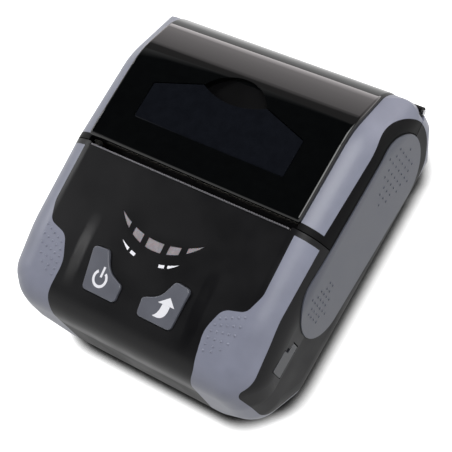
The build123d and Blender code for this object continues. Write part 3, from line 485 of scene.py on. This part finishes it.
def printed_ink(name, colour):
    """Pad-printed white ink: flat and slightly uneven in cover."""
    material, tree = new_material(name)
    cover = grain(tree, 0.6)
    shader = add_node(
        tree,
        "ShaderNodeBsdfPrincipled",
        {
            "Base Color": two_tone(tree, cover, rgba(colour, 0.985), rgba(colour)),
            "Roughness": spread(tree, cover, 0.5, 0.6),
            "IOR": 1.5,
        },
    )
    add_node(tree, "ShaderNodeOutputMaterial", {"Surface": shader.outputs["BSDF"]})
    return material


def plain_metal(name, code, smooth, rough, grit, stretch):
    """A bare or plated metal with the fine marks of its making, which break up its shine."""
    material, tree = new_material(name)
    marks = grain(tree, grit, 3.0, stretch)
    colour = linear(code)
    shader = add_node(
        tree,
        "ShaderNodeBsdfPrincipled",
        {
            "Base Color": two_tone(tree, marks, rgba(colour, 0.88), rgba(colour, 1.05)),
            "Roughness": spread(tree, marks, smooth, rough),
            "Metallic": 1.0,
            "Normal": bumped(tree, marks, 0.003),
        },
    )
    add_node(tree, "ShaderNodeOutputMaterial", {"Surface": shader.outputs["BSDF"]})
    return material


def plain_plastic(name, code, smooth, rough, ior, cell):
    """A moulded or pressed part whose colour and shine vary a little from cell to cell."""
    material, tree = new_material(name)
    cells = grain(tree, cell, 3.0)
    colour = linear(code)
    shader = add_node(
        tree,
        "ShaderNodeBsdfPrincipled",
        {
            "Base Color": two_tone(tree, cells, rgba(colour, 0.88), rgba(colour, 1.1)),
            "Roughness": spread(tree, cells, smooth, rough),
            "IOR": ior,
            "Normal": bumped(tree, cells, 0.006),
        },
    )
    add_node(tree, "ShaderNodeOutputMaterial", {"Surface": shader.outputs["BSDF"]})
    return material


def dress(names, finish):
    """Gives these CAD nodes one finish in every material slot."""
    for name in names:
        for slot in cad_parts[name].material_slots:
            slot.material = finish


def ease_edges(node, width):
    """Gives a node's sharp edges a narrow rounding, which catches the light as a moulded edge does."""
    weld = node.modifiers.new("weld", "WELD")
    weld.merge_threshold = 0.001 * MM
    bevel = node.modifiers.new("edge", "BEVEL")
    bevel.width = width
    bevel.segments = EDGE_STEPS
    bevel.limit_method = "ANGLE"
    bevel.angle_limit = math.radians(EDGE_ANGLE)
    bevel.use_clamp_overlap = True


def add_surface(name, vertices, faces, finish, body):
    """A smooth-shaded piece from arrays of vertices in metres and lists of faces, riding on a body."""
    mesh = bpy.data.meshes.new(name)
    mesh.from_pydata(vertices.tolist(), [], faces)
    mesh.polygons.foreach_set("use_smooth", np.ones(len(mesh.polygons), dtype=bool))
    mesh.materials.append(finish)
    piece = bpy.data.objects.new(name, mesh)
    bpy.context.scene.collection.objects.link(piece)
    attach(piece, body)
    return piece


def landed(node, starts, way):
    """Points and normals of a CAD node where straight lines from the starts along way first meet it."""
    surface = BVHTree.FromObject(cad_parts[node], bpy.context.evaluated_depsgraph_get())
    hits = [surface.ray_cast(Vector(start), Vector(way)) for start in starts]
    if any(hit[0] is None for hit in hits):
        raise RuntimeError(f"a detail misses {node}")
    return np.array([hit[0] for hit in hits]), np.array([hit[1] for hit in hits])


def dot_field(name, points, normals, sizes, finish):
    """Raised dots, one on each point: the flattened balls point + radius sin(v) (side cos(u) + across
    sin(u)) + height cos(v) normal, for v from 0 at the crown to pi at the buried pole and u once around."""
    radius = sizes.dot_radius
    height = sizes.dot_height
    v = np.linspace(0.0, math.pi, DOT_RINGS + 2)[1:-1][None, :, None, None]
    u = (np.arange(DOT_TURNS) * 2.0 * math.pi / DOT_TURNS)[None, None, :, None]
    normals = normals / np.linalg.norm(normals, axis=1, keepdims=True)
    upright = np.abs(normals[:, 2:]) > 0.9
    side = np.cross(np.where(upright, [[1.0, 0.0, 0.0]], [[0.0, 0.0, 1.0]]), normals)
    side /= np.linalg.norm(side, axis=1, keepdims=True)
    across = np.cross(normals, side)[:, None, None, :]
    side = side[:, None, None, :]
    way = normals[:, None, None, :]
    ring = radius * np.sin(v) * (side * np.cos(u) + across * np.sin(u)) + height * np.cos(v) * way
    balls = (points[:, None, None, :] + ring).reshape(len(points), -1, 3)
    crown = (points + height * normals)[:, None, :]
    foot = (points - height * normals)[:, None, :]
    vertices = np.concatenate([crown, balls, foot], axis=1)
    here = 1 + np.arange(DOT_TURNS)
    after = 1 + (np.arange(DOT_TURNS) + 1) % DOT_TURNS
    top = np.stack([np.zeros(DOT_TURNS, int), here, after], axis=1)
    last = (DOT_RINGS - 1) * DOT_TURNS
    end = np.full(DOT_TURNS, 1 + DOT_RINGS * DOT_TURNS)
    bottom = np.stack([end, after + last, here + last], axis=1)
    belts = np.arange(DOT_RINGS - 1)[:, None] * DOT_TURNS
    below = belts + DOT_TURNS
    walls = np.stack([here + belts, here + below, after + below, after + belts], axis=2)
    first = (np.arange(len(points)) * vertices.shape[1])[:, None, None]
    fans = (np.concatenate([top, bottom])[None] + first).reshape(-1, 3)
    walls = (walls.reshape(-1, 4)[None] + first).reshape(-1, 4)
    return add_surface(name, vertices.reshape(-1, 3), fans.tolist() + walls.tolist(), finish, "body")


def printed(name, node, strokes, height, finish, body):
    """Ink strokes on one face. A stroke is a rectangle swept along two plan lines, left(s) and right(s):
    its corners are left and right at plane(x, y) + height and right and left at plane(x, y) - height, where
    the plane touches the face below the stroke's middle."""
    vertices = []
    faces = []
    lift = np.array([height, height, -height, -height])
    edge = np.arange(4)[None, :]
    after = (edge + 1) % 4
    for left, right in strokes:
        plan = np.stack([left, right, right, left], axis=1) * MM + [0.0, SHIFT_Y * MM]
        middle = plan.mean(axis=(0, 1))
        above = (middle[0], middle[1], ABOVE * MM)
        (point,), (normal,) = landed(node, [above], (0.0, 0.0, -1.0))
        slope = normal[:2] / normal[2]
        z = point[2] - (plan - point[:2]) @ slope + lift
        first = sum(len(v) for v in vertices)
        n = len(left)
        vertices.append(np.concatenate([plan, z[:, :, None]], axis=2).reshape(-1, 3))
        here = (np.arange(n - 1) * 4)[:, None]
        walls = np.stack([here + edge, here + after, here + 4 + after, here + 4 + edge], axis=2)
        caps = np.array([[3, 2, 1, 0], [4 * n - 4, 4 * n - 3, 4 * n - 2, 4 * n - 1]])
        faces += (np.concatenate([walls.reshape(-1, 4), caps]) + first).tolist()
    piece = add_surface(name, np.concatenate(vertices), faces, finish, body)
    piece.data.polygons.foreach_set("use_smooth", np.zeros(len(faces), dtype=bool))
    return piece


def arc_line(centre, low, high, radius_low, radius_high, count):
    """Points around a centre from angle low to high in degrees, while the radius goes between its two."""
    turn = np.radians(np.linspace(low, high, count))
    radius = np.linspace(radius_low, radius_high, count)
    return np.stack([centre[0] + radius * np.cos(turn), centre[1] + radius * np.sin(turn)], axis=1)


def bent_line(start, bend, end, count):
    """The curve (1 - t)^2 start + 2 t (1 - t) bend + t^2 end."""
    t = np.linspace(0.0, 1.0, count)[:, None]
    return (1 - t) ** 2 * np.array(start) + 2 * t * (1 - t) * np.array(bend) + t**2 * np.array(end)


class PRINTER_OT_case(bpy.types.Operator):
    """Case halves and the lid's frame in textured black ABS"""

    bl_idname = "printer.dress_case"
    bl_label = "Case"

    def execute(self, context):
        colours = context.scene.printer_colours
        dress(["lower_case"], textured_abs("spark_eroded_black_abs", colours.case, 0.16))
        # Painted shade: the case's ABS made darker and duller for the frame under the cover.
        dress(["lid_frame"], textured_abs("spark_eroded_black_abs_lid_painted_shade", colours.lid_frame_painted_shade, 0.08))
        panel = textured_abs("spark_eroded_black_abs_panel", colours.case, 0.2, (0.32, 0.42), True)
        dress(["upper_case"], panel)
        return {"FINISHED"}


class PRINTER_OT_lid(bpy.types.Operator):
    """Polished lid cover and opening paddle, and the narrow roundings on edges"""

    bl_idname = "printer.dress_lid"
    bl_label = "Lid cover and paddle"

    def execute(self, context):
        colours = context.scene.printer_colours
        dress(["lid_cover"], gloss_cover("polished_black_acrylic", colours.cover))
        dress(["open_paddle"], gloss_cover("polished_blue_black_acrylic", colours.paddle))
        for name, width in EDGE_WIDTHS.items():
            ease_edges(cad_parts[name], width * MM)
        return {"FINISHED"}


class PRINTER_OT_guards(bpy.types.Operator):
    """Soft grey guards, bands, side grips and port cover, with their raised dots"""

    bl_idname = "printer.dress_guards"
    bl_label = "Guards and grips"

    def execute(self, context):
        colours = context.scene.printer_colours
        guard = soft_touch("soft_touch_grey_elastomer", colours.guard)
        grip = soft_touch("soft_touch_dark_elastomer", colours.grip)
        for side in ("left", "right"):
            for part in ("front_guard", "corner_guard", "rear_guard", "lid_band"):
                dress([f"{part}_{side}"], guard)
            dress([f"side_grip_{side}"], grip)
        # The flap's darker grey is painted shade.
        dress(["port_cover"], soft_touch("soft_touch_flap_painted_shade", colours.flap))
        self.guard_dots(context.scene.printer_sizes, guard)
        self.grip_dots(context.scene.printer_sizes, grip)
        return {"FINISHED"}

    def guard_dots(self, sizes, finish):
        """The dots on the two front guards, where straight lines from above meet them."""
        plan = np.concatenate([np.linspace(first, last, count) for first, last, count in GUARD_DOT_ROWS])
        height = np.full(len(plan), ABOVE)
        for side, name in ((1.0, "right"), (-1.0, "left")):
            above = np.column_stack([plan[:, 0] * side, plan[:, 1] + SHIFT_Y, height]) * MM
            points, normals = landed(f"front_guard_{name}", above, (0.0, 0.0, -1.0))
            dot_field(f"guard_dots_{name}", points, normals, sizes, finish)

    def grip_dots(self, sizes, finish):
        """The two fields of dots on each side grip."""
        rows = []
        for fields, step in ((REAR_DOT_ROWS, REAR_DOT_STEP), (FRONT_DOT_ROWS, FRONT_DOT_STEP)):
            for y, z, count in fields:
                rows.append(np.array([y, z]) + np.arange(count)[:, None] * np.array(step))
        face = np.concatenate(rows)
        for side, name in ((1.0, "right"), (-1.0, "left")):
            out = np.full(len(face), side * GRIP_FACE_X)
            points = np.column_stack([out, face[:, 0] + SHIFT_Y, face[:, 1]]) * MM
            normals = np.tile([side, 0.0, 0.0], (len(face), 1))
            dot_field(f"grip_dots_{name}", points, normals, sizes, finish)


class PRINTER_OT_keys(bpy.types.Operator):
    """Buttons and light windows, and the printed symbols and marks"""

    bl_idname = "printer.dress_keys"
    bl_label = "Buttons and windows"

    def execute(self, context):
        colours = context.scene.printer_colours
        dress(["power_button", "feed_button"], painted_key("silk_slate_lacquer", colours.key))
        dress(["light_windows"], smoked_window("milky_smoked_polycarbonate", colours.window))
        ink = printed_ink("pad_printed_white_ink", colours.ink)
        height = context.scene.printer_sizes.print_height
        printed("power_symbol", "power_button", self.standby(), height, ink, "power_key")
        printed("feed_symbol", "feed_button", self.arrow(), height, ink, "feed_key")
        printed("panel_marks", "upper_case", self.marks(), height, ink, "body")
        return {"FINISHED"}

    def standby(self):
        """The strokes of the open ring and its bar."""
        start = 90.0 + RING_GAP
        end = start + 360.0 - 2 * RING_GAP
        ring = [arc_line(RING_AT, start, end, radius, radius, RING_STEPS) for radius in RING_RADII]
        low, high, half = RING_BAR
        bar = np.linspace(low, high, 2)
        return [ring, (bar - [half, 0.0], bar + [half, 0.0])]

    def arrow(self):
        """The strokes of the arrow's stem and head."""
        right_tail = np.array(ARROW_TAIL) - [0.0, ARROW_TAIL_WIDTH]
        stem = (
            bent_line(ARROW_TAIL, ARROW_BEND[0], ARROW_NECK[0], ARROW_STEPS),
            bent_line(right_tail, ARROW_BEND[1], ARROW_NECK[1], ARROW_STEPS),
        )
        tip = np.array(ARROW_TIP)
        half = [ARROW_TIP_HALF, 0.0]
        return [stem, (np.array([ARROW_BARBS[0], tip - half]), np.array([ARROW_BARBS[1], tip + half]))]

    def marks(self):
        """The strokes of the dashes and wedges on their arc."""
        centre = (0.0, MARK_ARC_Y)
        strokes = []
        for low, high, outer_low, outer_high in MARK_SPANS:
            start = low - 90.0
            end = high - 90.0
            inner = arc_line(centre, start, end, MARK_INNER_R, MARK_INNER_R, MARK_STEPS)
            strokes.append((inner, arc_line(centre, start, end, outer_low, outer_high, MARK_STEPS)))
        return strokes


class PRINTER_OT_works(bpy.types.Operator):
    """Mechanism, electronics, paper well, battery and feet"""

    bl_idname = "printer.dress_works"
    bl_label = "Mechanism and boards"

    def execute(self, context):
        for *looks, names in METALS:
            dress(names, plain_metal(*looks))
        for *looks, names in PLASTICS:
            dress(names, plain_plastic(*looks))
        return {"FINISHED"}


def mirrored_ray(tree, path):
    """1 for a ray from a mirror or through glass, by a Light Path node, and 0 for others: its socket."""
    either = add_node(
        tree,
        "ShaderNodeMath",
        {0: path.outputs["Is Glossy Ray"], 1: path.outputs["Is Transmission Ray"]},
        operation="MAXIMUM",
    )
    return either.outputs["Value"]


class PRINTER_OT_stage(bpy.types.Operator):
    """Floor, studio light, background and camera"""

    bl_idname = "printer.add_stage"
    bl_label = "Stage"

    def execute(self, context):
        scene = context.scene
        self.add_floor(scene)
        self.add_painted_reflection(scene)
        self.light_world(scene)
        for name, at, size, power in LAMPS:
            self.add_lamp(scene, name, at, size, power)
        self.aim_camera(scene)
        scene.view_settings.view_transform = "Standard"
        return {"FINISHED"}

    def add_card(self, scene, name, corners, finish):
        """A flat four-sided piece of the stage."""
        mesh = bpy.data.meshes.new(name)
        mesh.from_pydata(corners, [], [(0, 1, 2, 3)])
        mesh.materials.append(finish)
        card = bpy.data.objects.new(name, mesh)
        scene.collection.objects.link(card)
        return card

    def add_floor(self, scene):
        """A level floor under the printer."""
        half = FLOOR_HALF
        corners = [(-half, -half, 0.0), (half, -half, 0.0), (half, half, 0.0), (-half, half, 0.0)]
        floor = self.add_card(scene, "floor", corners, self.paper_floor())

    def paper_floor(self):
        """Seamless white paper: lit by the lamps, and lifted to white where the eye or a mirror sees it.
        Close to the printer the lift is taken away and the colour is painted near-black: a painted contact
        shadow."""
        material, tree = new_material("seamless_white_paper")
        dark, light = (rgba((grey, grey, grey)) for grey in FLOOR_GREYS)
        fibre = two_tone(tree, grain(tree, 3.0, 3.0), dark, light)
        lit = add_node(tree, "ShaderNodeBsdfDiffuse", {"Color": fibre})
        # Painted shadow: a near-black colour for the paper where the printer comes close.
        painted_shadow = add_node(tree, "ShaderNodeBsdfDiffuse", {"Color": rgba((PAINTED_SHADOW_GREY,) * 3)})
        lean = add_node(tree, "ShaderNodeCombineXYZ", dict(zip("XYZ", SHADOW_LEAN))).outputs["Vector"]
        near = add_node(tree, "ShaderNodeAmbientOcclusion", {"Distance": SHADOW_REACH * MM, "Normal": lean})
        start, end = SHADOW_FADE
        clear = add_node(
            tree,
            "ShaderNodeMapRange",
            {"Value": near.outputs["AO"], "From Min": start, "From Max": end},
        ).outputs["Result"]
        paper = add_node(
            tree,
            "ShaderNodeMixShader",
            {0: clear, 1: painted_shadow.outputs["BSDF"], 2: lit.outputs["BSDF"]},
        )
        path = add_node(tree, "ShaderNodeLightPath")
        part = add_node(
            tree,
            "ShaderNodeMath",
            {0: mirrored_ray(tree, path), 1: MIRROR_PART},
            operation="MULTIPLY",
        ).outputs["Value"]
        seen = add_node(
            tree,
            "ShaderNodeMath",
            {0: path.outputs["Is Camera Ray"], 1: part},
            operation="MAXIMUM",
        ).outputs["Value"]
        # The white lift fades out where the painted shadow comes in.
        lift = add_node(tree, "ShaderNodeMath", {0: seen, 1: clear}, operation="MULTIPLY")
        glow = add_node(tree, "ShaderNodeEmission", {"Strength": lift.outputs["Value"]})
        both = add_node(
            tree,
            "ShaderNodeAddShader",
            {0: paper.outputs["Shader"], 1: glow.outputs["Emission"]},
        )
        add_node(tree, "ShaderNodeOutputMaterial", {"Surface": both.outputs["Shader"]})
        return material

    def add_painted_reflection(self, scene):
        """A card behind the printer that glows only for mirrors: a painted reflection, brighter towards the
        floor in two steps.
        """
        x_low, x_high, y, top = PAINTED_REFLECTION_SPAN
        corners = [(x_low, y, 0.0), (x_high, y, 0.0), (x_high, y, top), (x_low, y, top)]
        card = self.add_card(scene, "painted_reflection_card", corners, self.painted_reflection_glow(top))
        card.visible_camera = False
        card.visible_diffuse = False
        card.visible_shadow = False

    def painted_reflection_glow(self, top):
        """Glow painted in bands of grey by height, as CARD_LEVELS says: no lamp lights the card, it shines
        itself.
        """
        material, tree = new_material("painted_reflection_emitter")
        place = add_node(tree, "ShaderNodeTexCoord").outputs["Object"]
        height = add_node(tree, "ShaderNodeSeparateXYZ", {"Vector": place}).outputs["Z"]
        part = add_node(tree, "ShaderNodeMath", {0: height, 1: top}, operation="DIVIDE").outputs["Value"]
        level = add_node(tree, "ShaderNodeValToRGB", {"Fac": part})
        stops = level.color_ramp.elements
        stops[0].color = rgba(CARD_TINT, CARD_ENDS[0])
        stops[1].color = rgba(CARD_TINT, CARD_ENDS[1])
        for position, grey in CARD_LEVELS:
            stops.new(position).color = rgba(CARD_TINT, grey)
        glow = add_node(
            tree,
            "ShaderNodeEmission",
            {"Color": level.outputs["Color"], "Strength": CARD_STRENGTH},
        )
        add_node(tree, "ShaderNodeOutputMaterial", {"Surface": glow.outputs["Emission"]})
        return material

    def light_world(self, scene):
        """A white room: plain grey light on the object, white where the eye looks past the floor, and for
        mirrors a pale wall below a dark ceiling."""
        scene.world = bpy.data.worlds.new("studio")
        scene.world.use_nodes = True
        tree = scene.world.node_tree
        tree.nodes.clear()
        way = add_node(tree, "ShaderNodeTexCoord").outputs["Generated"]
        height = add_node(tree, "ShaderNodeSeparateXYZ", {"Vector": way}).outputs["Z"]
        wall = two_tone(tree, height, WHITE, CEILING, WALL_FADE)
        soft = add_node(tree, "ShaderNodeBackground", {"Color": WHITE, "Strength": ROOM_STRENGTH})
        mirror = add_node(tree, "ShaderNodeBackground", {"Color": wall, "Strength": WALL_STRENGTH})
        white = add_node(tree, "ShaderNodeBackground", {"Color": WHITE, "Strength": 1.0})
        path = add_node(tree, "ShaderNodeLightPath")
        mixed = add_node(
            tree,
            "ShaderNodeMixShader",
            {0: mirrored_ray(tree, path), 1: soft.outputs["Background"], 2: mirror.outputs["Background"]},
        )
        seen = add_node(
            tree,
            "ShaderNodeMixShader",
            {0: path.outputs["Is Camera Ray"], 1: mixed.outputs["Shader"], 2: white.outputs["Background"]},
        )
        add_node(tree, "ShaderNodeOutputWorld", {"Surface": seen.outputs["Shader"]})

    def add_lamp(self, scene, name, at, size, power):
        """A rectangular soft lamp aimed at the printer."""
        lamp = bpy.data.lights.new(name, "AREA")
        lamp.shape = "RECTANGLE"
        lamp.size, lamp.size_y = size
        lamp.energy = power
        holder = bpy.data.objects.new(name, lamp)
        holder.location = at
        aim = Vector(LAMP_AIM) - Vector(at)
        holder.rotation_euler = aim.to_track_quat("-Z", "Y").to_euler()
        scene.collection.objects.link(holder)

    def aim_camera(self, scene):
        """Puts the camera where the picture was taken from."""
        data = bpy.data.cameras.new("camera")
        data.sensor_width = SENSOR
        data.lens = LENS
        data.clip_start = 0.01
        data.clip_end = 20.0
        camera = bpy.data.objects.new("camera", data)
        columns = [Vector(CAMERA_RIGHT), -Vector(CAMERA_DOWN), -Vector(CAMERA_FORWARD)]
        turn = Matrix(columns).transposed().to_4x4()
        camera.matrix_world = Matrix.Translation(CAMERA_AT) @ turn
        scene.collection.objects.link(camera)
        scene.camera = camera


class PRINTER_PT_sidebar(bpy.types.Panel):
    """Lists the printer's pieces in the 3D view's sidebar"""

    bl_idname = "PRINTER_PT_sidebar"
    bl_label = "Receipt printer"
    bl_space_type = "VIEW_3D"
    bl_region_type = "UI"
    bl_category = "Receipt printer"

    def draw(self, context):
        for operator in OPERATORS:
            self.layout.operator(operator.bl_idname)
        for name in PrinterSizes.__annotations__:
            self.layout.prop(context.scene.printer_sizes, name)
        for name in PrinterColours.__annotations__:
            self.layout.prop(context.scene.printer_colours, name)


OPERATORS = [
    PRINTER_OT_case,
    PRINTER_OT_lid,
    PRINTER_OT_guards,
    PRINTER_OT_keys,
    PRINTER_OT_works,
    PRINTER_OT_stage,
]
CLASSES = [PrinterSizes, PrinterColours] + OPERATORS + [PRINTER_PT_sidebar]


def register():
    for cls in CLASSES:
        bpy.utils.register_class(cls)
    bpy.types.Scene.printer_sizes = PointerProperty(type=PrinterSizes)
    bpy.types.Scene.printer_colours = PointerProperty(type=PrinterColours)


def unregister():
    del bpy.types.Scene.printer_colours
    del bpy.types.Scene.printer_sizes
    for cls in reversed(CLASSES):
        bpy.utils.unregister_class(cls)


def main():
    register()
    for operator in OPERATORS:
        group, name = operator.bl_idname.split(".")
        getattr(getattr(bpy.ops, group), name)()


if __name__ == "__main__":
    main()
